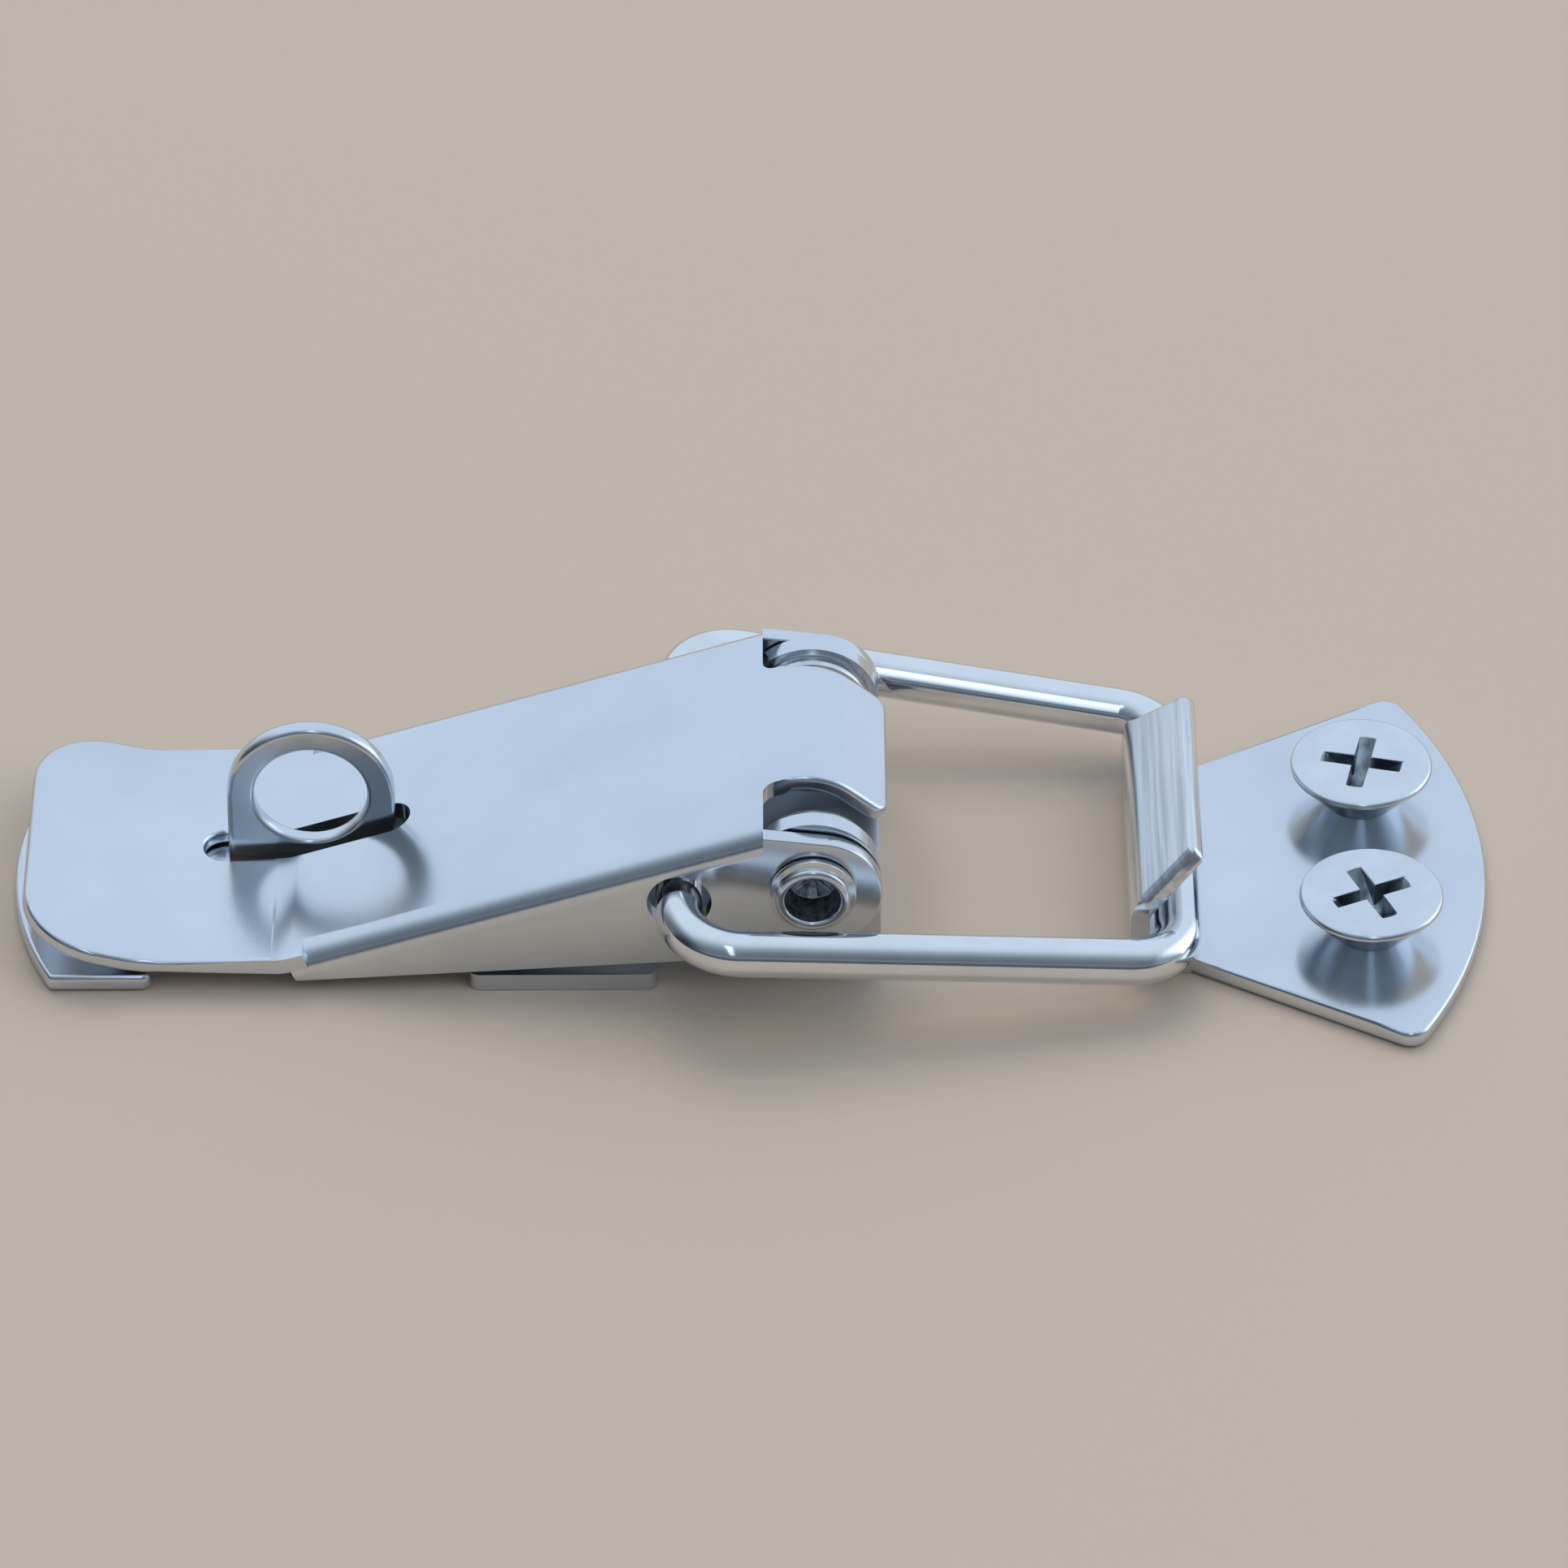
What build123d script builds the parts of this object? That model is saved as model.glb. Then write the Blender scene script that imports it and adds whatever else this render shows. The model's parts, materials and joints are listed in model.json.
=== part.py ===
from build123d import *
from math import asin, atan2, cos, degrees, hypot, radians, sin, tan
import os

# Over centre toggle latch with a padlock eye, closed over its keeper. Millimetres.
# The origin lies on the mounting face, straight below the lever's pivot. +X points to
# the keeper, +Z away from the mounting face, and the latch is symmetrical about Y = 0.

# ---- Driving dimensions -------------------------------------------------------------

# Sheet metal and clearances
base_sheet = 1.1
lever_sheet = 1.0
keeper_sheet = 1.1
bend_inside = 0.5           # inside radius of every sharp bend
side_clearance = 0.15       # between a base ear and the lever flange beside it
rest_clearance = 0.15       # lever tail above the base plate
sweep_clearance = 0.25      # between parts that pass each other as the lever turns

# Pivot
pivot_z = 7.2
rivet_radius = 2.0
rivet_bore_radius = 1.55
rivet_running = 0.05        # radial play of the lever on a rivet
rivet_grip = 0.02           # radial play of a rivet in its base ear
rivet_flange_radius = 2.5
rivet_flange_height = 0.4
rivet_collar_radius = 2.15
rivet_collar_height = 0.5
rivet_floor = 1.0           # solid metal left under the bore
rivet_button_radius = 3.45
rivet_button_height = 0.9

# Lever: a folded channel with a flat tail
lever_half_width = 9.85
lever_fold_radius = 1.5     # outside radius of the folds to the flanges
tail_end_x = -45.25
tail_rise = 1.7             # how far the finger end curls up
tail_curl_x = -38.7
tail_curl_radius = 10.0
tail_corner_radius = 4.6
slope_foot_x = -30.4
slope_foot_radius = 4.0
crest_x = -0.5              # centre that the tongue curls about, over the pivot
crest_z = 7.6
crest_radius = 4.25
cheek_x = 0.35              # centre of the flanges' round front ends
cheek_z = 6.95
cheek_radius = 3.62
cheek_root_z = 11.0         # height of the flanges' upper edge just ahead of the notches
heel_x = -29.6              # lowest rear corner of the flanges
heel_z = 0.75
toe_x = -5.5                # where the flanges' lower edge turns up to the round end
toe_z = 2.2
notch_x = -2.8
tongue_half_width = 5.3
tongue_root_radius = 0.7    # inside corner between each notch and the tongue
tongue_droop = 40.0         # how far below the horizontal the tongue's straight end points
tongue_flat = 2.85          # length of that straight end
tongue_corner_radius = 1.0

# Padlock eye on the base and its slot in the lever
eye_x = -28.95
eye_z = 6.2
eye_radius = 4.85
eye_hole_radius = 3.27
eye_middle_y = 0.75
eye_relief = 1.0            # gap cut beside the eye in the base plate
slot_side_clearance = 0.75
slot_x = -29.25
slot_end_clearance = 1.15

# Base plate
base_corner_x = -43.8
base_bulge = 2.45           # how far the round rear edge stands out past its corners
rear_lobe_end_x = -37.9
front_lobe_start_x = -19.7
front_lobe_end_x = -8.9
waist_inset = 2.45          # how far each side draws in between the lobes
neck_inset = 1.05           # bend relief, in from the ears, between them and the front lobe
lobe_corner_radius = 0.6
base_screw_radius = 1.6
base_sink_radius = 2.4
base_screw_rear_x = -41.0
base_screw_front_x = -14.3

# Bail of round wire
wire_radius = 1.35
bail_pin_x = -7.6
bail_pin_z = 6.4
bail_hole_play = 0.5        # radial gap between the wire and its hole
bail_end_inside = 0.6       # how far each end stands in past the flange
bail_lever_gap = 3.1        # wire to the lever's flange
bail_hook_gap = 1.35        # wire to the end of the hook
bail_lever_bend = 3.2
bail_keeper_bend = 3.2
bail_bar_x = 20.95
bail_bar_z = 2.95
bail_end_chamfer = 0.3

# Keeper: a fan with its neck curled back into a hook
hook_wall_clearance = 0.3   # wire to the upright part of the hook
hook_flap_clearance = 0.75  # wire to the sloping part, which the bail swings past
hook_flap_angle = 44.0
hook_tip_z = 8.1
hook_half_width = 8.6
hook_tip_half_width = 7.1
hook_root_radius = 2.0      # outside radius where the plate turns up
hook_knee_radius = 2.2      # outside radius where it leans over
fan_corner_x = 34.4
fan_corner_y = 15.9
fan_flare = 30.0            # angle of each side to the latch's axis
fan_bulge = 4.7
fan_corner_radius = 1.2
keeper_screw_x = 32.1
keeper_screw_y = 6.05

# Countersunk cross recess screws of the keeper
screw_head_radius = 4.15
screw_head_angle = 82.0
screw_rim = 0.35
screw_radius = 1.9
screw_neck_radius = 1.65
screw_neck_end_z = -0.4
screw_hole_radius = 2.05
screw_length = 12.0
screw_tip_chamfer = 0.6
screw_near_turn = 24.0      # how far each screw's cross is turned from the axes
screw_far_turn = -13.0
recess_arm_width = 0.95
recess_radius = 2.45
recess_depth = 1.9
recess_floor_radius = 0.7

# ---- Places worked out from them ------------------------------------------------------

flange_inner_y = lever_half_width - lever_sheet
ear_outer_y = flange_inner_y - side_clearance
ear_inner_y = ear_outer_y - base_sheet
base_half_width = lever_half_width
waist_half_width = base_half_width - waist_inset
neck_half_width = ear_inner_y - neck_inset
tail_top_z = base_sheet + rest_clearance + lever_sheet
eye_near_y = eye_middle_y - base_sheet / 2
eye_far_y = eye_middle_y + base_sheet / 2

# The lever's upper face runs from the foot of its slope tangent to the tongue's curl.
foot_to_crest = hypot(crest_x - slope_foot_x, crest_z - tail_top_z)
slope = degrees(atan2(crest_z - tail_top_z, crest_x - slope_foot_x) + asin(crest_radius / foot_to_crest))
slope_cos = cos(radians(slope))
slope_sin = sin(radians(slope))
slope_end = (crest_x - crest_radius * slope_sin, crest_z + crest_radius * slope_cos)
slope_foot_run = slope_foot_radius * slope_sin

# The base ears stay inside the circle that the notch's edge sweeps about the pivot.
notch_top_z = slope_end[1] - (slope_end[0] - notch_x) * slope_sin / slope_cos
notch_edge_z = notch_top_z - lever_sheet / slope_cos
ear_radius = hypot(notch_x, notch_edge_z - pivot_z) - sweep_clearance


def pivot_axis():
    """The line that the lever turns about."""
    return Axis((0, 0, pivot_z), (0, 1, 0))


# ---- Base plate: blanked with two wide lobes, ears and eye folded up -------------------

base_chord = 2 * base_half_width

with BuildPart() as base_plate:
    with BuildSketch() as plate_outline:
        with BuildLine():
            back = SagittaArc(
                (base_corner_x, base_half_width), (base_corner_x, -base_half_width), -base_bulge
            )
            Polyline(back @ 1, (rear_lobe_end_x, -base_half_width), (rear_lobe_end_x, base_half_width), back @ 0)
        make_face()
        with Locations((rear_lobe_end_x, 0)):
            Rectangle(
                front_lobe_start_x - rear_lobe_end_x, 2 * waist_half_width, align=(Align.MIN, Align.CENTER)
            )
        with Locations((front_lobe_start_x, 0)):
            Rectangle(
                front_lobe_end_x - front_lobe_start_x, base_chord, align=(Align.MIN, Align.CENTER)
            )
        with Locations((front_lobe_end_x, 0)):
            Rectangle(-front_lobe_end_x, 2 * neck_half_width, align=(Align.MIN, Align.CENTER))
        Rectangle(2 * ear_radius, 2 * ear_outer_y)
    extrude(amount=base_sheet)
    lobe_corners = base_plate.edges().filter_by(Axis.Z).filter_by(
        lambda edge: abs(abs(edge.center().Y) - base_half_width) < 0.01 and edge.center().X > base_corner_x + 1
    )
    fillet(lobe_corners, lobe_corner_radius)

    # The eye is sheared free of the near half of the plate and folded up.
    with BuildSketch() as eye_window:
        with Locations((eye_x, eye_near_y)):
            Rectangle(2 * (eye_radius + eye_relief), base_chord, align=(Align.CENTER, Align.MAX))
    extrude(amount=base_sheet, mode=Mode.SUBTRACT)
    with BuildSketch(Plane.XZ.offset(-eye_far_y)) as eye_outline:
        with Locations((eye_x, eye_z)):
            Circle(eye_radius)
        with Locations((eye_x, 0)):
            Rectangle(2 * eye_radius, eye_z, align=(Align.CENTER, Align.MIN))
        with Locations((eye_x, eye_z)):
            Circle(eye_hole_radius, mode=Mode.SUBTRACT)
    extrude(amount=base_sheet)

    # Ears carry the pivot rivets.
    for side in (1, -1):
        inner_face = Plane.XZ.offset(-side * ear_inner_y)
        with BuildSketch(inner_face) as ear_outline:
            with Locations((0, pivot_z)):
                Circle(ear_radius)
            Rectangle(2 * ear_radius, pivot_z, align=(Align.CENTER, Align.MIN))
            with Locations((0, pivot_z)):
                Circle(rivet_radius + rivet_grip, mode=Mode.SUBTRACT)
        extrude(amount=-side * base_sheet)

    # Folds: outside and inside radii along each bend line.
    outside_folds = base_plate.edges().filter_by(Axis.X).filter_by(
        lambda edge: abs(edge.center().Z) < 0.01
        and (abs(abs(edge.center().Y) - ear_outer_y) < 0.01 or abs(edge.center().Y - eye_near_y) < 0.01)
        and edge.length > ear_radius
    )
    fillet(outside_folds, bend_inside + base_sheet)
    inside_folds = base_plate.edges().filter_by(Axis.X).filter_by(
        lambda edge: abs(edge.center().Z - base_sheet) < 0.01
        and (abs(abs(edge.center().Y) - ear_inner_y) < 0.01 or abs(edge.center().Y - eye_far_y) < 0.01)
    )
    fillet(inside_folds, bend_inside)

    with Locations((base_screw_rear_x, 0, base_sheet), (base_screw_front_x, 0, base_sheet)):
        CounterSinkHole(base_screw_radius, base_sink_radius, counter_sink_angle=90)

# ---- Lever: channel, tail, tongue -----------------------------------------------------

lever_width = 2 * lever_half_width
channel_reach = foot_to_crest + 2 * crest_radius
channel_plane = Plane(
    origin=(slope_end[0], 0, slope_end[1]), x_dir=(0, 1, 0), z_dir=(slope_cos, 0, slope_sin)
)

with BuildPart() as lever:
    # A channel of constant section along the slope, cut to the side outline, which ends
    # at the notches.
    with BuildSketch(channel_plane) as channel_section:
        Rectangle(lever_width, foot_to_crest, align=(Align.CENTER, Align.MAX))
        fillet(channel_section.vertices().group_by(Axis.Z)[-1], lever_fold_radius)
        with Locations((0, -lever_sheet)):
            Rectangle(
                2 * flange_inner_y, foot_to_crest, align=(Align.CENTER, Align.MAX), mode=Mode.SUBTRACT
            )
    extrude(amount=channel_reach, both=True)
    with BuildSketch(Plane.XZ) as side_outline:
        with BuildLine():
            Polyline((slope_foot_x, tail_top_z), (heel_x, heel_z), (toe_x, toe_z), (notch_x, notch_top_z))
            CenterArc((cheek_x, cheek_z), cheek_radius, 180, 360)
        make_hull()
        with Locations((notch_x, crest_z)):
            Rectangle(channel_reach, channel_reach, align=(Align.MIN, Align.CENTER), mode=Mode.SUBTRACT)
    extrude(amount=lever_width, both=True, mode=Mode.INTERSECT)
    fold_lines = lever.edges().filter_by(
        lambda edge: abs(abs(edge.center().Y) - flange_inner_y) < 0.01
        and edge.length > foot_to_crest / 2
    ).sort_by(Axis.Z)[-2:]
    fillet(fold_lines, bend_inside)

    # Ahead of the notches the flanges are flat up to their sheared edge, with no fold left.
    for side in (1, -1):
        with BuildSketch(Plane.XZ.offset(-side * flange_inner_y)) as cheek_outline:
            with BuildLine():
                Line((toe_x, toe_z), (notch_x, cheek_root_z))
                CenterArc((cheek_x, cheek_z), cheek_radius, 180, 360)
            make_hull()
            with Locations((notch_x, crest_z)):
                Rectangle(
                    channel_reach, channel_reach, align=(Align.MIN, Align.CENTER), mode=Mode.INTERSECT
                )
        extrude(amount=-side * lever_sheet)

    # The tongue stands between two notches, which clear the base's ears, and curls down.
    with BuildSketch(Plane.XZ) as tongue_outline:
        with BuildLine():
            Line((slope_foot_x, tail_top_z), slope_end)
            curl = CenterArc((crest_x, crest_z), crest_radius, 90 + slope, -slope - tongue_droop)
            Line(curl @ 1, curl @ 1 + tongue_flat * (curl % 1))
            offset(amount=lever_sheet, side=Side.RIGHT)
        make_face()
        with Locations((notch_x, crest_z)):
            Rectangle(channel_reach, channel_reach, align=(Align.MIN, Align.CENTER), mode=Mode.INTERSECT)
    extrude(amount=tongue_half_width, both=True)
    tongue_roots = lever.edges().filter_by(Axis.Z).filter_by(
        lambda edge: abs(edge.center().X - notch_x) < 0.01
        and abs(abs(edge.center().Y) - tongue_half_width) < 0.01
    )
    fillet(tongue_roots, tongue_root_radius)
    tongue_corners = lever.edges().filter_by(
        lambda edge: abs(abs(edge.center().Y) - tongue_half_width) < 0.01
        and abs(edge.length - lever_sheet) < 0.01
    ).sort_by(Axis.X)[-2:]
    fillet(tongue_corners, tongue_corner_radius)

    # Tail with its finger end curled up.
    with BuildSketch(Plane.XZ) as tail_outline:
        with BuildLine():
            FilletPolyline(
                (tail_end_x, tail_top_z + tail_rise),
                (tail_curl_x, tail_top_z),
                (slope_foot_x, tail_top_z),
                (slope_foot_x + slope_foot_run * slope_cos, tail_top_z + slope_foot_run * slope_sin),
                radius=(tail_curl_radius, slope_foot_radius),
            )
            offset(amount=lever_sheet, side=Side.RIGHT)
        make_face()
    extrude(amount=lever_half_width, both=True)
    tail_corners = lever.edges().filter_by(
        lambda edge: abs(abs(edge.center().Y) - lever_half_width) < 0.01
        and edge.center().X < tail_end_x + lever_sheet
        and abs(edge.length - lever_sheet) < 0.01
    )
    fillet(tail_corners, tail_corner_radius)

    with BuildSketch(Plane.XY) as slot_outline:
        with Locations((slot_x, eye_middle_y)):
            SlotOverall(2 * (eye_radius + slot_end_clearance), base_sheet + 2 * slot_side_clearance)
    extrude(amount=crest_z, mode=Mode.SUBTRACT)

    for x, z, radius in (
        (0, pivot_z, rivet_radius + rivet_running),
        (bail_pin_x, bail_pin_z, wire_radius + bail_hole_play),
    ):
        with BuildSketch(Plane.XZ) as hole_outline:
            with Locations((x, z)):
                Circle(radius)
        extrude(amount=lever_width, both=True, mode=Mode.SUBTRACT)

# ---- Pivot rivets: tubular, turned over inside the base ears ----------------------------

flange_face_y = lever_half_width + sweep_clearance / 2
collar_face_y = flange_face_y + rivet_flange_height + rivet_collar_height
button_face_y = ear_inner_y - rivet_button_height
rivet_plane = Plane(origin=(0, 0, pivot_z), x_dir=(1, 0, 0), z_dir=(0, 0, 1))

with BuildPart() as rivet_far:
    with BuildSketch(rivet_plane) as rivet_profile:
        with BuildLine():
            Polyline(
                (0, button_face_y),
                (rivet_button_radius, button_face_y),
                (rivet_button_radius, ear_inner_y),
                (rivet_radius, ear_inner_y),
                (rivet_radius, flange_face_y),
                (rivet_flange_radius, flange_face_y),
                (rivet_flange_radius, flange_face_y + rivet_flange_height),
                (rivet_collar_radius, flange_face_y + rivet_flange_height),
                (rivet_collar_radius, collar_face_y),
                (rivet_bore_radius, collar_face_y),
                (rivet_bore_radius, ear_inner_y + rivet_floor),
                (0, ear_inner_y + rivet_floor - rivet_bore_radius * tan(radians(30))),
                close=True,
            )
        make_face()
        rim = rivet_profile.vertices().filter_by(lambda v: v.Y > flange_face_y + 0.01)
        fillet(rim.filter_by(lambda v: v.X > rivet_collar_radius + 0.01), rivet_flange_height * 0.4)
        fillet(rim.filter_by(lambda v: v.Y > collar_face_y - 0.01), (rivet_collar_radius - rivet_bore_radius) * 0.45)
        fillet(
            rivet_profile.vertices().filter_by(
                lambda v: v.Y < button_face_y + 0.01 and v.X > rivet_button_radius - 0.01
            ),
            rivet_button_height * 0.6,
        )
    revolve(axis=pivot_axis())

with BuildPart() as rivet_near:
    add(mirror(rivet_far.part, about=Plane.XZ))

# ---- Bail: one bent wire whose ends hinge in the lever's flanges ------------------------

bail_run = hypot(bail_bar_x - bail_pin_x, bail_bar_z - bail_pin_z)
bail_plane = Plane(
    origin=(bail_pin_x, 0, bail_pin_z),
    x_dir=(bail_bar_x - bail_pin_x, 0, bail_bar_z - bail_pin_z),
    z_dir=(bail_pin_z - bail_bar_z, 0, bail_bar_x - bail_pin_x),
)
bail_end_y = flange_inner_y - bail_end_inside
bail_wide_half = lever_half_width + bail_lever_gap + wire_radius
bail_narrow_half = hook_half_width + bail_hook_gap + wire_radius

with BuildPart() as bail:
    with BuildLine(bail_plane) as bail_path:
        FilletPolyline(
            (0, -bail_end_y),
            (0, -bail_wide_half),
            (bail_run, -bail_narrow_half),
            (bail_run, bail_narrow_half),
            (0, bail_wide_half),
            (0, bail_end_y),
            radius=(bail_lever_bend, bail_keeper_bend, bail_keeper_bend, bail_lever_bend),
        )
    with BuildSketch(Plane(origin=bail_path.wire() @ 0, z_dir=bail_path.wire() % 0)) as wire_section:
        Circle(wire_radius)
    sweep()
    bail_ends = bail.faces().filter_by(GeomType.PLANE).edges()
    chamfer(bail_ends, bail_end_chamfer)

# ---- Keeper: fan plate with its neck curled back into a hook ----------------------------

wire_left_x = bail_bar_x - wire_radius
hook_wall_x = wire_left_x - hook_wall_clearance - keeper_sheet
flap_offset = wire_radius + hook_flap_clearance + keeper_sheet
flap_cos = cos(radians(hook_flap_angle))
flap_sin = sin(radians(hook_flap_angle))
flap_x = bail_bar_x - flap_offset * flap_sin
flap_z = bail_bar_z + flap_offset * flap_cos
hook_knee_z = flap_z - (flap_x - hook_wall_x) * tan(radians(hook_flap_angle))
hook_tip_x = flap_x + (hook_tip_z - flap_z) / tan(radians(hook_flap_angle))
flare_x = fan_corner_x - (fan_corner_y - hook_half_width) / tan(radians(fan_flare))

with BuildPart() as keeper:
    with BuildSketch(Plane.XZ) as hook_profile:
        with BuildLine():
            FilletPolyline(
                (flare_x, 0),
                (hook_wall_x, 0),
                (hook_wall_x, hook_knee_z),
                (hook_tip_x, hook_tip_z),
                radius=(hook_root_radius, hook_knee_radius),
            )
            offset(amount=keeper_sheet, side=Side.RIGHT)
        make_face()
    extrude(amount=hook_half_width, both=True)
    # The flap narrows towards its tip.
    with BuildSketch(Plane.YZ.offset(hook_wall_x)) as hook_taper:
        for side in (1, -1):
            with BuildLine():
                Polyline(
                    (side * hook_half_width, hook_knee_z),
                    (side * hook_tip_half_width, hook_tip_z),
                    (side * hook_tip_half_width, hook_tip_z + keeper_sheet),
                    (side * fan_corner_y, hook_tip_z + keeper_sheet),
                    (side * fan_corner_y, hook_knee_z),
                    close=True,
                )
            make_face()
    extrude(amount=fan_corner_x, mode=Mode.SUBTRACT)

    with BuildSketch() as fan_outline:
        with BuildLine():
            rim_arc = SagittaArc((fan_corner_x, -fan_corner_y), (fan_corner_x, fan_corner_y), -fan_bulge)
            Polyline(
                rim_arc @ 1, (flare_x, hook_half_width), (flare_x, -hook_half_width), rim_arc @ 0
            )
        make_face()
        fillet(fan_outline.vertices().filter_by(lambda v: v.X > fan_corner_x - 0.01), fan_corner_radius)
        with Locations((keeper_screw_x, keeper_screw_y), (keeper_screw_x, -keeper_screw_y)):
            Circle(screw_hole_radius, mode=Mode.SUBTRACT)
    extrude(amount=keeper_sheet)

# ---- Keeper screws ----------------------------------------------------------------------

cone_steepness = 1 / tan(radians(screw_head_angle / 2))
cone_height = (screw_head_radius - screw_neck_radius) * cone_steepness
neck_step = screw_radius - screw_neck_radius
head_top_z = keeper_sheet + (screw_head_radius - screw_hole_radius) * cone_steepness + screw_rim

with BuildPart() as recess:
    with BuildSketch(Plane.XY.offset(head_top_z)) as recess_cross:
        Rectangle(2 * recess_radius, recess_arm_width)
        Rectangle(recess_arm_width, 2 * recess_radius)
    extrude(amount=-recess_depth)
    with BuildSketch(Plane.XZ) as recess_cone:
        with BuildLine():
            Polyline(
                (0, head_top_z),
                (recess_radius, head_top_z),
                (recess_floor_radius, head_top_z - recess_depth * 0.8),
                (0, head_top_z - recess_depth),
                close=True,
            )
        make_face()
    revolve(axis=Axis.Z, mode=Mode.INTERSECT)

with BuildPart() as screw:
    with BuildSketch(Plane.XZ) as screw_profile:
        with BuildLine():
            Polyline(
                (0, head_top_z),
                (screw_head_radius, head_top_z),
                (screw_head_radius, head_top_z - screw_rim),
                (screw_neck_radius, head_top_z - screw_rim - cone_height),
                (screw_neck_radius, screw_neck_end_z),
                (screw_radius, screw_neck_end_z - neck_step),
                (screw_radius, head_top_z - screw_length + screw_tip_chamfer),
                (screw_radius - screw_tip_chamfer, head_top_z - screw_length),
                (0, head_top_z - screw_length),
                close=True,
            )
        make_face()
    revolve(axis=Axis.Z)
    add(recess.part, mode=Mode.SUBTRACT)

# ---- Write each piece -------------------------------------------------------------------

pieces = {
    "base_plate": base_plate.part,
    "lever": lever.part,
    "pivot_rivet_near": rivet_near.part,
    "pivot_rivet_far": rivet_far.part,
    "bail": bail.part,
    "keeper": keeper.part,
    "keeper_screw_near": Pos(keeper_screw_x, -keeper_screw_y, 0) * Rot(Z=screw_near_turn) * screw.part,
    "keeper_screw_far": Pos(keeper_screw_x, keeper_screw_y, 0) * Rot(Z=screw_far_turn) * screw.part,
}

os.makedirs("parts", exist_ok=True)
for name, piece in pieces.items():
    piece.label = name
    export_step(piece, f"parts/{name}.step")
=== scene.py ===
import json
from math import atan2, cos, pi, radians

import bmesh
import bpy
from mathutils import Matrix, Vector


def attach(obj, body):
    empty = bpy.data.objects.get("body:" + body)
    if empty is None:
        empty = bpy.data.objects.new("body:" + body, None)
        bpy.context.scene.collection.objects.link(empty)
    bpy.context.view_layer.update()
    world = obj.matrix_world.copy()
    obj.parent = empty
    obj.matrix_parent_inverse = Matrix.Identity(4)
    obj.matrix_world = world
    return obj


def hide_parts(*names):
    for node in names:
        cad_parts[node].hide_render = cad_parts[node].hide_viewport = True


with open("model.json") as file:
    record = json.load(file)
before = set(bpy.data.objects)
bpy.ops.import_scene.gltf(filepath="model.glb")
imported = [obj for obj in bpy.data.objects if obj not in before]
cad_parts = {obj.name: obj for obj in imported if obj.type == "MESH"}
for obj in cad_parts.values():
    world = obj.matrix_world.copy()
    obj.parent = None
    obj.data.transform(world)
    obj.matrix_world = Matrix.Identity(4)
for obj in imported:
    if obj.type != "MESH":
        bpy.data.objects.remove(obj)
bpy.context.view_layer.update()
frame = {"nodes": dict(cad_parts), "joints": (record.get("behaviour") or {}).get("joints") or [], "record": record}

# ---- Viewpoint ------------------------------------------------------------------------
# The latch lies shut on a table and is looked down on from its long side, through a
# long lens, so its parallel edges stay nearly parallel.

look_at = Vector((-0.0016, 0.0090, 0.0))
look_down = radians(38.5)
lean = radians(-0.27)
stand_off = 0.575

line_of_sight = Vector((0, cos(look_down), cos(look_down + pi / 2)))
bpy.ops.object.camera_add(location=look_at - stand_off * line_of_sight)
camera = bpy.context.object
camera.rotation_euler = (
    Matrix.Rotation(pi / 2 - look_down, 3, "X") @ Matrix.Rotation(lean, 3, "Z")
).to_euler()
camera.data.sensor_width = 36
camera.data.lens = 224.3
camera.data.clip_start = 0.01
bpy.context.scene.camera = camera
bpy.context.scene.view_settings.view_transform = "Standard"

# ---- Table ----------------------------------------------------------------------------
# A plain pale board, warm in tone, that the base and the keeper lie flat on. The screws
# stand in it. Its face is a hair below theirs, so that no two faces fall together.

board_size = 1.3
board_drop = 0.00004
board_colour = (0.63, 0.535, 0.44, 1)

bpy.ops.mesh.primitive_plane_add(size=board_size, location=(0, 0.1, -board_drop))
board = bpy.context.object
board.name = "table_board"
board_paint = bpy.data.materials.new("pale_board")
board_paint.use_nodes = True
board_shader = board_paint.node_tree.nodes["Principled BSDF"]
board_shader.inputs["Base Color"].default_value = board_colour
board_shader.inputs["Roughness"].default_value = 0.9
board_shader.inputs["Specular IOR Level"].default_value = 0.2
board.data.materials.append(board_paint)

# ---- Room light -----------------------------------------------------------------------
# A long window wall with a cool sky runs behind the latch and up over it, and is brightest
# at the right. The room in front is dim, and polished folds show it as a dark line.

sky = (0.68, 0.79, 0.95, 1)
high_sky = (0.58, 0.69, 0.83, 1)
sky_edge = (0.34, 0.42, 0.50, 1)
upper_room = (0.19, 0.235, 0.29, 1)
far_room = (0.13, 0.16, 0.195, 1)
pale_wall = (0.19, 0.225, 0.27, 1)
dim_room = (0.085, 0.10, 0.12, 1)
left_strength, middle_strength, right_strength = 0.20, 1.05, 1.9
left_dim, left_full = -0.95, -0.50
right_plain, right_bright = 0.64, 0.84
tube_strength, tube_middle = 4.5, 0.035
tube_core, tube_edge = 0.03, 0.075
unlit, lit = (0, 0, 0, 1), (1, 1, 1, 1)

room = bpy.data.worlds.new("room")
bpy.context.scene.world = room
room.use_nodes = True
room_nodes, room_links = room.node_tree.nodes, room.node_tree.links
room_way = room_nodes.new("ShaderNodeTexCoord")
room_split = room_nodes.new("ShaderNodeSeparateXYZ")
room_links.new(room_way.outputs["Generated"], room_split.inputs[0])

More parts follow.
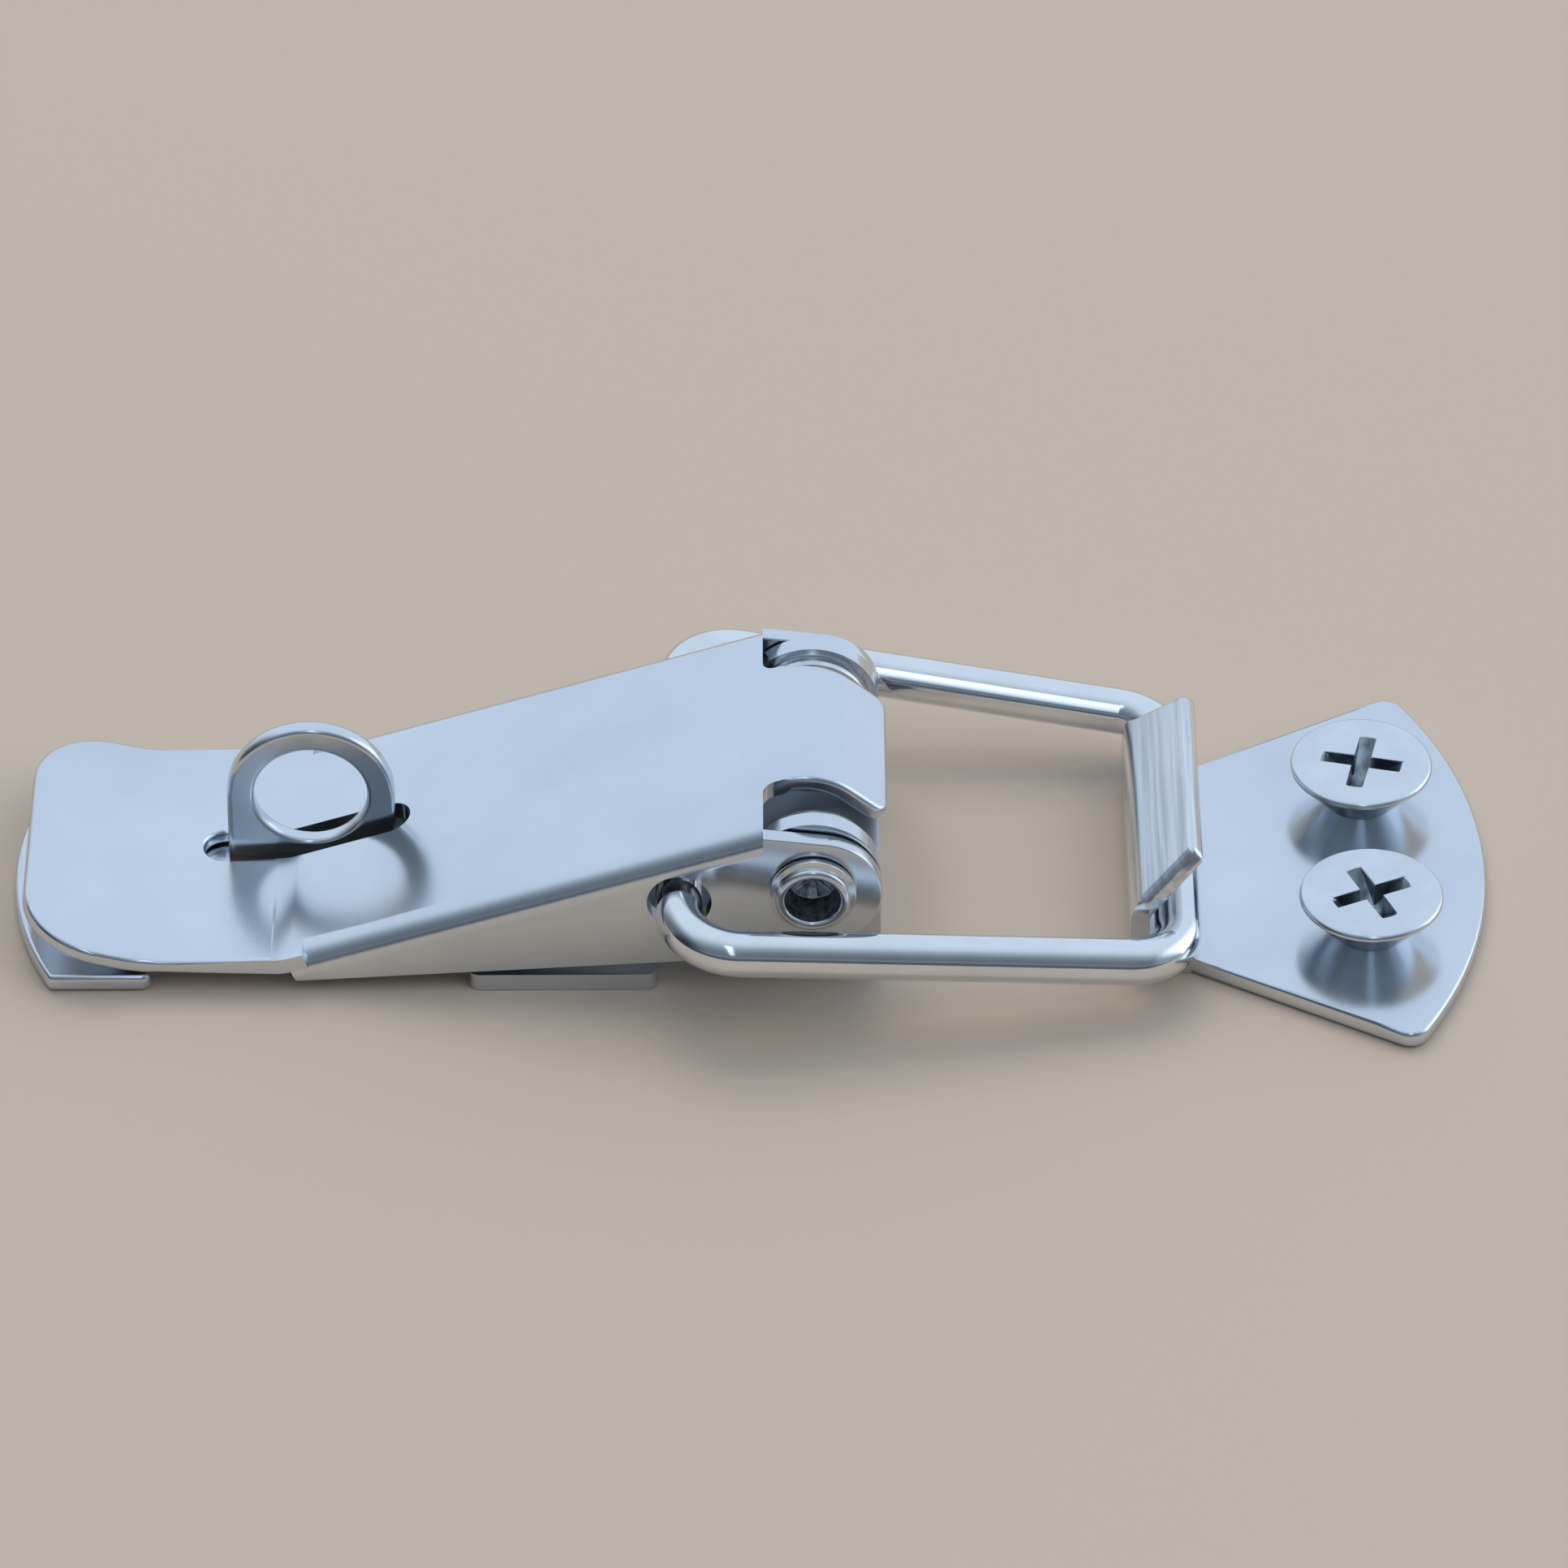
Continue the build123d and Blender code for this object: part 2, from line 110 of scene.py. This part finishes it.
# The tone goes by the angle about the latch's long axis, in degrees from the far horizon over
# to the near one.
room_turn = room_nodes.new("ShaderNodeMath")
room_turn.operation = "ARCTAN2"
room_span = room_nodes.new("ShaderNodeMapRange")
room_span.inputs["From Max"].default_value = pi
room_ramp = room_nodes.new("ShaderNodeValToRGB")
room_stops = room_ramp.color_ramp.elements
room_stops[0].position = 78 / 180
room_stops[0].color = sky
room_stops[1].position = 1.0
room_stops[1].color = dim_room
for angle, tone in (
    (98, high_sky),
    (116, sky_edge),
    (134, upper_room),
    (154, far_room),
    (163, pale_wall),
    (171, dim_room),
):
    room_stops.new(angle / 180).color = tone
room_links.new(room_split.outputs["Z"], room_turn.inputs[0])
room_links.new(room_split.outputs["Y"], room_turn.inputs[1])
room_links.new(room_turn.outputs["Value"], room_span.inputs["Value"])
room_links.new(room_span.outputs["Result"], room_ramp.inputs["Fac"])
room_links.new(room_ramp.outputs["Color"], room_nodes["Background"].inputs["Color"])

# The strength goes by how far to the left or right the light comes from: it falls off at the
# left and rises at the right.
left_fade = room_nodes.new("ShaderNodeMapRange")
left_fade.interpolation_type = "SMOOTHSTEP"
left_fade.inputs["From Min"].default_value = left_dim
left_fade.inputs["From Max"].default_value = left_full
left_fade.inputs["To Min"].default_value = left_strength
left_fade.inputs["To Max"].default_value = middle_strength
right_gain = room_nodes.new("ShaderNodeMapRange")
right_gain.interpolation_type = "SMOOTHSTEP"
right_gain.inputs["From Min"].default_value = right_plain
right_gain.inputs["From Max"].default_value = right_bright
right_gain.inputs["To Min"].default_value = 1.0
right_gain.inputs["To Max"].default_value = right_strength / middle_strength
room_strength = room_nodes.new("ShaderNodeMath")
room_strength.operation = "MULTIPLY"
room_links.new(room_split.outputs["X"], left_fade.inputs["Value"])
room_links.new(room_split.outputs["X"], right_gain.inputs["Value"])
room_links.new(left_fade.outputs["Result"], room_strength.inputs[0])
room_links.new(right_gain.outputs["Result"], room_strength.inputs[1])

# A lamp tube hangs crosswise over the table, so it shows as a white line along round edges.
# It reaches from 108 to 157 degrees about the latch's long axis, with soft ends.
tube_offset = room_nodes.new("ShaderNodeMath")
tube_offset.operation = "SUBTRACT"
tube_offset.inputs[1].default_value = tube_middle
tube_distance = room_nodes.new("ShaderNodeMath")
tube_distance.operation = "ABSOLUTE"
tube_width = room_nodes.new("ShaderNodeMapRange")
tube_width.interpolation_type = "SMOOTHSTEP"
tube_width.inputs["From Min"].default_value = tube_edge
tube_width.inputs["From Max"].default_value = tube_core
tube_width.inputs["To Max"].default_value = tube_strength
tube_reach = room_nodes.new("ShaderNodeValToRGB")
tube_stops = tube_reach.color_ramp.elements
tube_stops[0].position = 108 / 180
tube_stops[0].color = unlit
tube_stops[1].position = 116 / 180
tube_stops[1].color = lit
tube_stops.new(150 / 180).color = lit
tube_stops.new(157 / 180).color = unlit
tube_glow = room_nodes.new("ShaderNodeMath")
tube_glow.operation = "MULTIPLY_ADD"
room_links.new(room_split.outputs["X"], tube_offset.inputs[0])
room_links.new(tube_offset.outputs["Value"], tube_distance.inputs[0])
room_links.new(tube_distance.outputs["Value"], tube_width.inputs["Value"])
room_links.new(room_span.outputs["Result"], tube_reach.inputs["Fac"])
room_links.new(tube_width.outputs["Result"], tube_glow.inputs[0])
room_links.new(tube_reach.outputs["Color"], tube_glow.inputs[1])
room_links.new(room_strength.outputs["Value"], tube_glow.inputs[2])
room_links.new(tube_glow.outputs["Value"], room_nodes["Background"].inputs["Strength"])

# Two soft lamps light the table warmly. The plating doesn't mirror them, only the room.
bpy.ops.object.light_add(type="AREA", location=(-0.12, 0.42, 0.70))
ceiling_lamp = bpy.context.object
ceiling_lamp.name = "ceiling_lamp"
ceiling_beam = look_at - ceiling_lamp.location
ceiling_lamp.rotation_euler = ceiling_beam.to_track_quat("-Z", "Y").to_euler()
ceiling_lamp.data.size = 0.5
ceiling_lamp.data.color = (1.0, 0.83, 0.58)
ceiling_lamp.data.energy = 1.60
ceiling_lamp.visible_glossy = False

bpy.ops.object.light_add(type="AREA", location=(0.38, -0.30, 0.45))
side_lamp = bpy.context.object
side_lamp.name = "side_lamp"
side_beam = Vector((0.05, -0.06, 0)) - side_lamp.location
side_lamp.rotation_euler = side_beam.to_track_quat("-Z", "Y").to_euler()
side_lamp.data.size = 0.4
side_lamp.data.color = (1.0, 0.80, 0.56)
side_lamp.data.energy = 0.55
side_lamp.visible_glossy = False

# ---- Base plate -----------------------------------------------------------------------
# One blank of 1.1 mm steel sheet, plated bright, with its pivot ears and padlock eye
# folded up. The blanking rolls its cut edges over a little.

def add_noise(metal, scale, detail, stretch=None):
    """A noise pattern that is fixed to the piece, drawn out along an axis by stretch."""
    nodes, links = metal.node_tree.nodes, metal.node_tree.links
    place = nodes.new("ShaderNodeTexCoord").outputs["Object"]
    if stretch:
        drawing_out = nodes.new("ShaderNodeMapping")
        drawing_out.inputs["Scale"].default_value = stretch
        links.new(place, drawing_out.inputs["Vector"])
        place = drawing_out.outputs["Vector"]
    noise = nodes.new("ShaderNodeTexNoise")
    noise.inputs["Scale"].default_value = scale
    noise.inputs["Detail"].default_value = detail
    links.new(place, noise.inputs["Vector"])
    return noise


def stained_metal(name, dark, light, spread, scale, detail=2, stretch=None):
    """A metal whose tone goes from dark to light with its stains. Returns both.

    Spread gives the two levels of the stains' noise at which the tones are reached.
    """
    metal = bpy.data.materials.new(name)
    metal.use_nodes = True
    nodes, links = metal.node_tree.nodes, metal.node_tree.links
    shader = nodes["Principled BSDF"]
    shader.inputs["Metallic"].default_value = 1.0
    stain = add_noise(metal, scale, detail, stretch)
    tone = nodes.new("ShaderNodeValToRGB")
    for stop, level, colour in zip(tone.color_ramp.elements, spread, (dark, light)):
        stop.position = level
        stop.color = colour
    links.new(stain.outputs["Fac"], tone.inputs["Fac"])
    links.new(tone.outputs["Color"], shader.inputs["Base Color"])
    return metal, stain


def vary_gloss(metal, stain, smooth, dull):
    """Let the stains of a metal vary its roughness too."""
    nodes, links = metal.node_tree.nodes, metal.node_tree.links
    gloss = nodes.new("ShaderNodeMapRange")
    gloss.inputs["To Min"].default_value = smooth
    gloss.inputs["To Max"].default_value = dull
    links.new(stain.outputs["Fac"], gloss.inputs["Value"])
    links.new(gloss.outputs["Result"], nodes["Principled BSDF"].inputs["Roughness"])


def press_in(metal, noise, strength, depth):
    """Press a noise pattern lightly into the surface of a metal."""
    nodes, links = metal.node_tree.nodes, metal.node_tree.links
    bump = nodes.new("ShaderNodeBump")
    bump.inputs["Strength"].default_value = strength
    bump.inputs["Distance"].default_value = depth
    links.new(noise.outputs["Fac"], bump.inputs["Height"])
    links.new(bump.outputs["Normal"], nodes["Principled BSDF"].inputs["Normal"])


# Plating clouds: broad, faint differences in tone and gloss.
plated_sheet, cloud = stained_metal(
    "plated_sheet",
    dark=(0.635, 0.675, 0.72, 1),
    light=(0.73, 0.77, 0.815, 1),
    spread=(0.3, 0.7),
    scale=70,
    detail=5,
)
cloud.inputs["Roughness"].default_value = 0.6
vary_gloss(plated_sheet, cloud, smooth=0.15, dull=0.25)

# Rolling grain: fine streaks along the strip that the blanks are cut from.
grain = add_noise(plated_sheet, scale=9000, detail=3, stretch=(0.12, 1, 1))
press_in(plated_sheet, grain, strength=0.06, depth=0.00003)


def make_active(piece):
    """Make a piece the only selected object."""
    bpy.ops.object.select_all(action="DESELECT")
    bpy.context.view_layer.objects.active = piece
    piece.select_set(True)


# Points within the first two of these are one: where a roll runs out to nothing, and where a
# node's triangles meet. Faces that meet at less than flat_within are one too.
same_point, merge_reach = 1e-7, 2e-6
flat_within, smooth_within = radians(0.5), radians(30)


def round_edges(piece, width, share_of, sharp_from=35, steps=3):
    """Round a piece's sharp edges, each to the share of width that share_of() gives it.

    An edge is sharp if its two faces meet at more than sharp_from degrees.
    """
    make_active(piece)
    shape = bmesh.new()
    shape.from_mesh(piece.data)
    share = shape.edges.layers.float.new("bevel_weight_edge")
    for edge in shape.edges:
        if edge.is_manifold and edge.calc_face_angle() > radians(sharp_from):
            edge[share] = share_of((edge.verts[0].co + edge.verts[1].co) / 2)
    shape.to_mesh(piece.data)
    shape.free()
    rounding = piece.modifiers.new("edge_roll", "BEVEL")
    rounding.width = width
    rounding.segments = steps
    rounding.limit_method = "WEIGHT"
    rounding.use_clamp_overlap = False
    bpy.ops.object.modifier_apply(modifier=rounding.name)
    bpy.ops.object.mode_set(mode="EDIT")
    bpy.ops.mesh.select_all(action="SELECT")
    bpy.ops.mesh.remove_doubles(threshold=same_point)
    bpy.ops.object.mode_set(mode="OBJECT")
    bpy.ops.object.shade_smooth_by_angle(angle=smooth_within)
    flatness = piece.modifiers.new("flat_faces", "WEIGHTED_NORMAL")
    flatness.keep_sharp = True
    bpy.ops.object.modifier_apply(modifier=flatness.name)


def dressed(node_name, piece_name, width, share_of, seams):
    """A copy of a node's mesh, merged, with its sharp edges rolled over as round_edges() does.

    Each seam is a plane through a hole, along which the faces are parted so that none is a ring.
    """
    piece = bpy.data.objects.new(piece_name, frame["nodes"][node_name].data.copy())
    bpy.context.scene.collection.objects.link(piece)
    make_active(piece)
    bpy.ops.object.mode_set(mode="EDIT")
    bpy.ops.mesh.select_all(action="SELECT")
    bpy.ops.mesh.remove_doubles(threshold=merge_reach)
    bpy.ops.mesh.customdata_custom_splitnormals_clear()
    bpy.ops.mesh.dissolve_limited(angle_limit=flat_within)
    for seam_place, seam_normal in seams:
        bpy.ops.mesh.select_all(action="SELECT")
        bpy.ops.mesh.bisect(plane_co=seam_place, plane_no=seam_normal)
    bpy.ops.object.mode_set(mode="OBJECT")
    round_edges(piece, width, share_of)
    return piece


mounts = {mount["name"]: mount for mount in frame["record"]["mounts"]}
eye_x, eye_y = mounts["padlock_eye"]["pos_m"][:2]
hole_row = mounts["base_screw_holes"]
tab_hole_x = hole_row["pos_m"][0] - hole_row["dims"]["spacing_x_mm"] / 2000

sheet_roll = 0.00032
eye_foot, eye_half_thickness = 0.0024, 0.0007
tab_start, tab_hole_reach = -0.0362, 0.0032


def base_roll(spot):
    """Full at the rims of the padlock eye, and round the tab behind it but for its hole."""
    on_eye = spot.z > eye_foot and abs(spot.y - eye_y) < eye_half_thickness
    by_tab_hole = Vector((spot.x - tab_hole_x, spot.y)).length < tab_hole_reach
    on_tab = spot.x < tab_start and not by_tab_hole
    return 1.0 if on_eye or on_tab else 0.0


eye_seam = ((eye_x, 0, 0), (1, 0, 0))
tab_seam = ((tab_hole_x, 0, 0), (1, 0, 0))
base_sheet = dressed("base_plate", "base_sheet", sheet_roll, base_roll, (eye_seam, tab_seam))
base_sheet.data.materials.clear()
base_sheet.data.materials.append(plated_sheet)
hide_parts("base_plate")
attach(base_sheet, "base")

# ---- Lever ----------------------------------------------------------------------------
# One blank of 1 mm sheet in the same plating, folded to a channel, with the finger tail
# curled up behind and the tongue curled down over the pivot.

joints = {joint["name"]: joint for joint in frame["joints"]}
pivot_height = joints["lever_hinge"]["pos_m"][2]

tail_end_x, notch_end_x = -0.0312, -0.0014
tongue_half_width, cheek_inside, pivot_bore_reach = 0.0054, 0.0080, 0.0026
cheek_share = 0.4


def lever_roll(spot):
    """Full round the finger tail and the tongue, slight round the pivot cheeks."""
    on_tail = spot.x < tail_end_x
    past_notch = spot.x > notch_end_x
    on_tongue = past_notch and abs(spot.y) < tongue_half_width
    by_bore = Vector((spot.x, spot.z - pivot_height)).length < pivot_bore_reach
    on_cheek = past_notch and abs(spot.y) > cheek_inside and not by_bore
    if on_tail or on_tongue:
        return 1.0
    return cheek_share if on_cheek else 0.0


slot_seam = ((0, eye_y, 0), (0, 1, 0))
lever_sheet = dressed("lever", "lever_sheet", sheet_roll, lever_roll, (slot_seam,))
lever_sheet.data.materials.clear()
lever_sheet.data.materials.append(plated_sheet)
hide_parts("lever")
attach(lever_sheet, "lever")

# ---- Pivot rivets ---------------------------------------------------------------------
# Two short tubular rivets, turned from bright bar: a plain head inside the ear, and an open
# end rolled outwards over the lever's flange. Distances run out along the pivot from the
# latch's centre line, and a hair is the slack with which places are compared.

rivet_sides = 72
head_radius, head_back, head_under = 0.00345, 0.0067, 0.0076
shank_radius = 0.0020
flange_radius, flange_back, flange_face = 0.0025, 0.009975, 0.010375
lip_radius, lip_face, lip_rounding = 0.00215, 0.010875, 0.00026
bore_radius, bore_bottom = 0.00155, 0.0086
petal_radius, petal_drop, petal_rise, petal_count = 0.0005, 0.0004, 0.00035, 6
rivet_roll = 0.00009
hair = 0.00001
# The last three bound the faces inside the bore that get the painted shade.
bore_shade_from, bore_shade_to, bore_shade_reach = 0.0080, 0.0107, bore_radius + 2 * hair


def pick(piece, wanted, kind="faces"):
    """Select, in edit mode, just the faces, edges or vertices that wanted() accepts."""
    shape = bmesh.from_edit_mesh(piece.data)
    for face in shape.faces:
        face.select_set(False)
    for edge in shape.edges:
        edge.select_set(False)
    for vertex in shape.verts:
        vertex.select_set(False)
    for element in getattr(shape, kind):
        if wanted(element):
            element.select_set(True)
    bmesh.update_edit_mesh(piece.data)


def draw_out(length):
    """Extrude the picked end face outwards along the rivet's axis."""
    bpy.ops.mesh.extrude_region_move(TRANSFORM_OT_translate={"value": (0, -length, 0)})


def taper(old, new):
    """Scale the picked end face about the rivet's axis."""
    bpy.ops.transform.resize(value=(new / old, 1, new / old), center_override=(0, 0, pivot_height))


def change_radius(old, new):
    """Step the picked end face to a new radius."""
    draw_out(0)
    taper(old, new)


bpy.ops.object.select_all(action="DESELECT")
bpy.ops.mesh.primitive_cylinder_add(
    vertices=rivet_sides,
    radius=head_radius,
    depth=head_under - head_back,
    location=(0, -(head_under + head_back) / 2, pivot_height),
    rotation=(pi / 2, 0, 0),
)
rivet_near = bpy.context.object
rivet_near.name = "rivet_near"
bpy.ops.object.transform_apply(location=True, rotation=True, scale=True)
bpy.ops.object.mode_set(mode="EDIT")
bpy.ops.mesh.select_mode(type="FACE")
pick(rivet_near, lambda face: face.normal.y < -0.9)
change_radius(head_radius, shank_radius)
draw_out(flange_back - head_under)
change_radius(shank_radius, flange_radius)
draw_out(flange_face - flange_back)
change_radius(flange_radius, lip_radius)
draw_out(lip_face - flange_face)
change_radius(lip_radius, bore_radius)
draw_out(bore_bottom - lip_face)
draw_out(-petal_drop)
taper(bore_radius, petal_radius)
bpy.ops.mesh.select_mode(type="VERT")


def on_petal(vertex):
    """True for the inner ends of the clinched petals at the bottom of the bore."""
    across, up = vertex.co.x, vertex.co.z - pivot_height
    inner = abs(Vector((across, up)).length - petal_radius) < hair
    deep = abs(vertex.co.y + bore_bottom - petal_drop) < hair
    return inner and deep and cos(petal_count * atan2(up, across)) > 0


pick(rivet_near, on_petal, "verts")
bpy.ops.transform.translate(value=(0, -petal_rise, 0))
bpy.ops.mesh.select_mode(type="EDGE")


def on_lip(edge):
    """True for the two rims of the rolled lip."""
    flat = all(abs(vertex.co.y + lip_face) < hair for vertex in edge.verts)
    radii = [Vector((vertex.co.x, vertex.co.z - pivot_height)).length for vertex in edge.verts]
    return flat and abs(radii[0] - radii[1]) < hair


pick(rivet_near, on_lip, "edges")
bpy.ops.mesh.bevel(offset=lip_rounding, segments=4, affect="EDGES")
bpy.ops.object.mode_set(mode="OBJECT")
round_edges(rivet_near, rivet_roll, lambda spot: 1.0, sharp_from=60, steps=2)

plated_rivet, rivet_stain = stained_metal(
    "plated_rivet",
    dark=(0.60, 0.62, 0.64, 1),
    light=(0.74, 0.76, 0.78, 1),
    spread=(0.3, 0.7),
    scale=900,
    detail=4,
)
vary_gloss(plated_rivet, rivet_stain, smooth=0.14, dull=0.26)
rivet_near.data.materials.append(plated_rivet)

# Inside the bore the metal is painted dark, painted shade for the shadow down the bore, and is rougher.
dull_bore = stained_metal(
    "dull_bore",
    dark=(0.18, 0.20, 0.21, 1),
    light=(0.50, 0.54, 0.57, 1),
    spread=(0.35, 0.65),
    scale=2500,
)[0]
dull_bore.node_tree.nodes["Principled BSDF"].inputs["Roughness"].default_value = 0.34
rivet_near.data.materials.append(dull_bore)
# Faces inside the bore get the painted shade.
for face in rivet_near.data.polygons:
    from_axis = Vector((face.center.x, face.center.z - pivot_height)).length
    if from_axis < bore_shade_reach and bore_shade_from < -face.center.y < bore_shade_to:
        face.material_index = 1

# The far rivet is the near one's mirror image.
rivet_far = bpy.data.objects.new("rivet_far", rivet_near.data.copy())
bpy.context.scene.collection.objects.link(rivet_far)
make_active(rivet_far)
bpy.ops.object.mode_set(mode="EDIT")
bpy.ops.mesh.select_all(action="SELECT")
bpy.ops.transform.resize(value=(1, -1, 1), center_override=(0, 0, 0))
bpy.ops.mesh.normals_make_consistent(inside=False)
bpy.ops.object.mode_set(mode="OBJECT")
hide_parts("pivot_rivet_near")
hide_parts("pivot_rivet_far")
for rivet in (rivet_near, rivet_far):
    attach(rivet, "base")

# ---- Bail -----------------------------------------------------------------------------
# One length of drawn wire, bent round to a loop and plated bright, smoother than the
# sheet. Its two ends are turned inwards and hinge in the lever's flanges.

plated_wire, wire_stain = stained_metal(
    "plated_wire",
    dark=(0.74, 0.76, 0.78, 1),
    light=(0.82, 0.84, 0.86, 1),
    spread=(0.3, 0.7),
    scale=260,
    detail=4,
)
vary_gloss(plated_wire, wire_stain, smooth=0.06, dull=0.14)

bail = frame["nodes"]["bail"]
bail.data.materials.clear()
bail.data.materials.append(plated_wire)

# ---- Keeper ---------------------------------------------------------------------------
# One blank of 1.1 mm sheet in the same plating. Its neck is folded back into the hook that
# the bail's bar lies in, and two screws hold it down.

screw_x, screw_y = mounts["keeper_shank_far"]["pos_m"][:2]
screw_hole_reach = 0.0030
hook_wall_x, hook_wall_top = 0.0213, 0.0052
hook_foot = 0.0030


def keeper_roll(spot):
    """Full all round, but for the screw holes and the hook's wall below its fold."""
    by_hole = Vector((spot.x - screw_x, abs(spot.y) - screw_y)).length < screw_hole_reach
    on_wall = spot.x < hook_wall_x and spot.z < hook_wall_top
    return 0.0 if by_hole or on_wall else 1.0


hole_seam = ((screw_x, 0, 0), (1, 0, 0))
keeper_sheet = dressed("keeper", "keeper_sheet", sheet_roll, keeper_roll, (hole_seam,))
keeper_sheet.data.materials.clear()
keeper_sheet.data.materials.append(plated_sheet)

# The folding die leaves fine bright and dull streaks along the hook.
drawn_sheet, streak = stained_metal(
    "drawn_sheet",
    dark=(0.60, 0.64, 0.68, 1),
    light=(0.84, 0.87, 0.90, 1),
    spread=(0.36, 0.62),
    scale=1900,
    detail=3,
    stretch=(1, 0.035, 1),
)
drawn_sheet.node_tree.nodes["Principled BSDF"].inputs["Roughness"].default_value = 0.20
press_in(drawn_sheet, streak, strength=0.35, depth=0.00006)
keeper_sheet.data.materials.append(drawn_sheet)
for face in keeper_sheet.data.polygons:
    if face.center.z > hook_foot:
        face.material_index = 1
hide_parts("keeper")
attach(keeper_sheet, "base")

# ---- Keeper screws --------------------------------------------------------------------
# Two countersunk screws with a cross recess, zinc plated, standing proud in the keeper's
# holes. The thread is rolled on the shank below a plain neck.

plated_screw, screw_stain = stained_metal(
    "plated_screw",
    dark=(0.66, 0.70, 0.74, 1),
    light=(0.74, 0.78, 0.82, 1),
    spread=(0.3, 0.7),
    scale=420,
    detail=4,
)
vary_gloss(plated_screw, screw_stain, smooth=0.14, dull=0.26)

# The cross recess is painted dark, painted shade for the shadow in its hollow, and is rougher.
dark_recess = stained_metal(
    "dark_recess",
    dark=(0.20, 0.23, 0.26, 1),
    light=(0.38, 0.42, 0.46, 1),
    spread=(0.35, 0.65),
    scale=1400,
)[0]
dark_recess.node_tree.nodes["Principled BSDF"].inputs["Roughness"].default_value = 0.30

# The thread is a ridge with a sharp crest, wound up the shank and run out at both ends.
core_radius, crest_radius = 0.00145, 0.0019
thread_pitch, thread_turns, thread_start = 0.0016, 4, -0.0074
thread_end = thread_start + thread_pitch * thread_turns
turn_steps = 36
run_out_share, run_out_reach = 0.72, 0.0022
bpy.ops.object.select_all(action="DESELECT")
bpy.ops.mesh.primitive_circle_add(
    vertices=4,
    radius=crest_radius - core_radius,
    location=(core_radius, 0, thread_start),
    rotation=(pi / 2, 0, 0),
)
thread = bpy.context.object
bpy.ops.object.transform_apply(location=True, rotation=True, scale=True)
winding = thread.modifiers.new("winding", "SCREW")
winding.axis = "Z"
winding.screw_offset = thread_pitch
winding.iterations = thread_turns
winding.steps = turn_steps
winding.render_steps = turn_steps
bpy.ops.object.modifier_apply(modifier=winding.name)
bpy.ops.object.mode_set(mode="EDIT")
bpy.ops.mesh.select_all(action="SELECT")
bpy.ops.mesh.remove_doubles(threshold=merge_reach)
bpy.ops.mesh.fill_holes(sides=4)
bpy.ops.mesh.select_all(action="SELECT")
bpy.ops.mesh.normals_make_consistent(inside=False)
bpy.ops.mesh.select_mode(type="VERT")
ridge_width = crest_radius - core_radius
for end in (thread_start, thread_end):
    pick(
        thread,
        lambda vertex: abs(vertex.co.y) < hair and abs(vertex.co.z - end) < ridge_width + hair,
        "verts",
    )
    bpy.ops.transform.resize(
        value=(run_out_share, run_out_share, 1),
        center_override=(0, 0, end),
        use_proportional_edit=True,
        use_proportional_connected=True,
        proportional_edit_falloff="SMOOTH",
        proportional_size=run_out_reach,
    )
bpy.ops.object.mode_set(mode="OBJECT")
bpy.ops.object.shade_smooth_by_angle(angle=smooth_within)

# The pattern for both screws is the far one's own form, set upright at the origin, with its
# shank slimmed to the thread's core.
near_place, far_place = Vector((screw_x, -screw_y, 0)), Vector((screw_x, screw_y, 0))
neck_end = -0.0004
rim_roll, rim_height, rim_inside, mouth_share = 0.00030, 0.0037, 0.0035, 0.35
recess_reach, recess_floor, recess_mouth = 0.00255, 0.0018, 0.0038
near_turn = radians(37)


def head_roll(spot):
    """Full round the top of the head's rim, slight at the mouth of its recess."""
    if spot.z < rim_height:
        return 0.0
    return 1.0 if (spot - far_place).xy.length > rim_inside else mouth_share


def below_neck(vertex):
    """True for the shank, and for the ring that it starts from under the plain neck."""
    on_ring = vertex.co.z < neck_end + hair and vertex.co.xy.length > crest_radius - hair
    return vertex.co.z < neck_end - hair or on_ring


head_seams = ((far_place, (1, 0, 0)), (far_place, (0, 1, 0)))
pattern = dressed("keeper_screw_far", "screw_pattern", rim_roll, head_roll, head_seams)
pattern.location = -far_place
bpy.ops.object.transform_apply(location=True, rotation=True, scale=True)

bpy.ops.object.mode_set(mode="EDIT")
bpy.ops.mesh.select_mode(type="VERT")
pick(pattern, below_neck, "verts")
core_share = core_radius / crest_radius
bpy.ops.transform.resize(value=(core_share, core_share, 1), center_override=(0, 0, 0))
bpy.ops.object.mode_set(mode="OBJECT")
pattern.data.materials.clear()
pattern.data.materials.append(plated_screw)
pattern.data.materials.append(dark_recess)
# Faces inside the cross recess get the painted shade.
for face in pattern.data.polygons:
    by_axis = face.center.xy.length < recess_reach
    face.material_index = 1 if by_axis and recess_floor < face.center.z < recess_mouth else 0
thread.data.materials.append(plated_screw)
thread.select_set(True)
bpy.ops.object.join()

# Each screw stopped turning where it was tight, so their recesses point different ways.
for side, place, turn in (("near", near_place, near_turn), ("far", far_place, 0)):
    screw = bpy.data.objects.new("screw_" + side, pattern.data.copy())
    bpy.context.scene.collection.objects.link(screw)
    screw.location = place
    screw.rotation_euler.z = turn
    make_active(screw)
    bpy.ops.object.transform_apply(location=True, rotation=True, scale=True)
    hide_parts("keeper_screw_" + side)
    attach(screw, "base")
bpy.data.objects.remove(pattern)
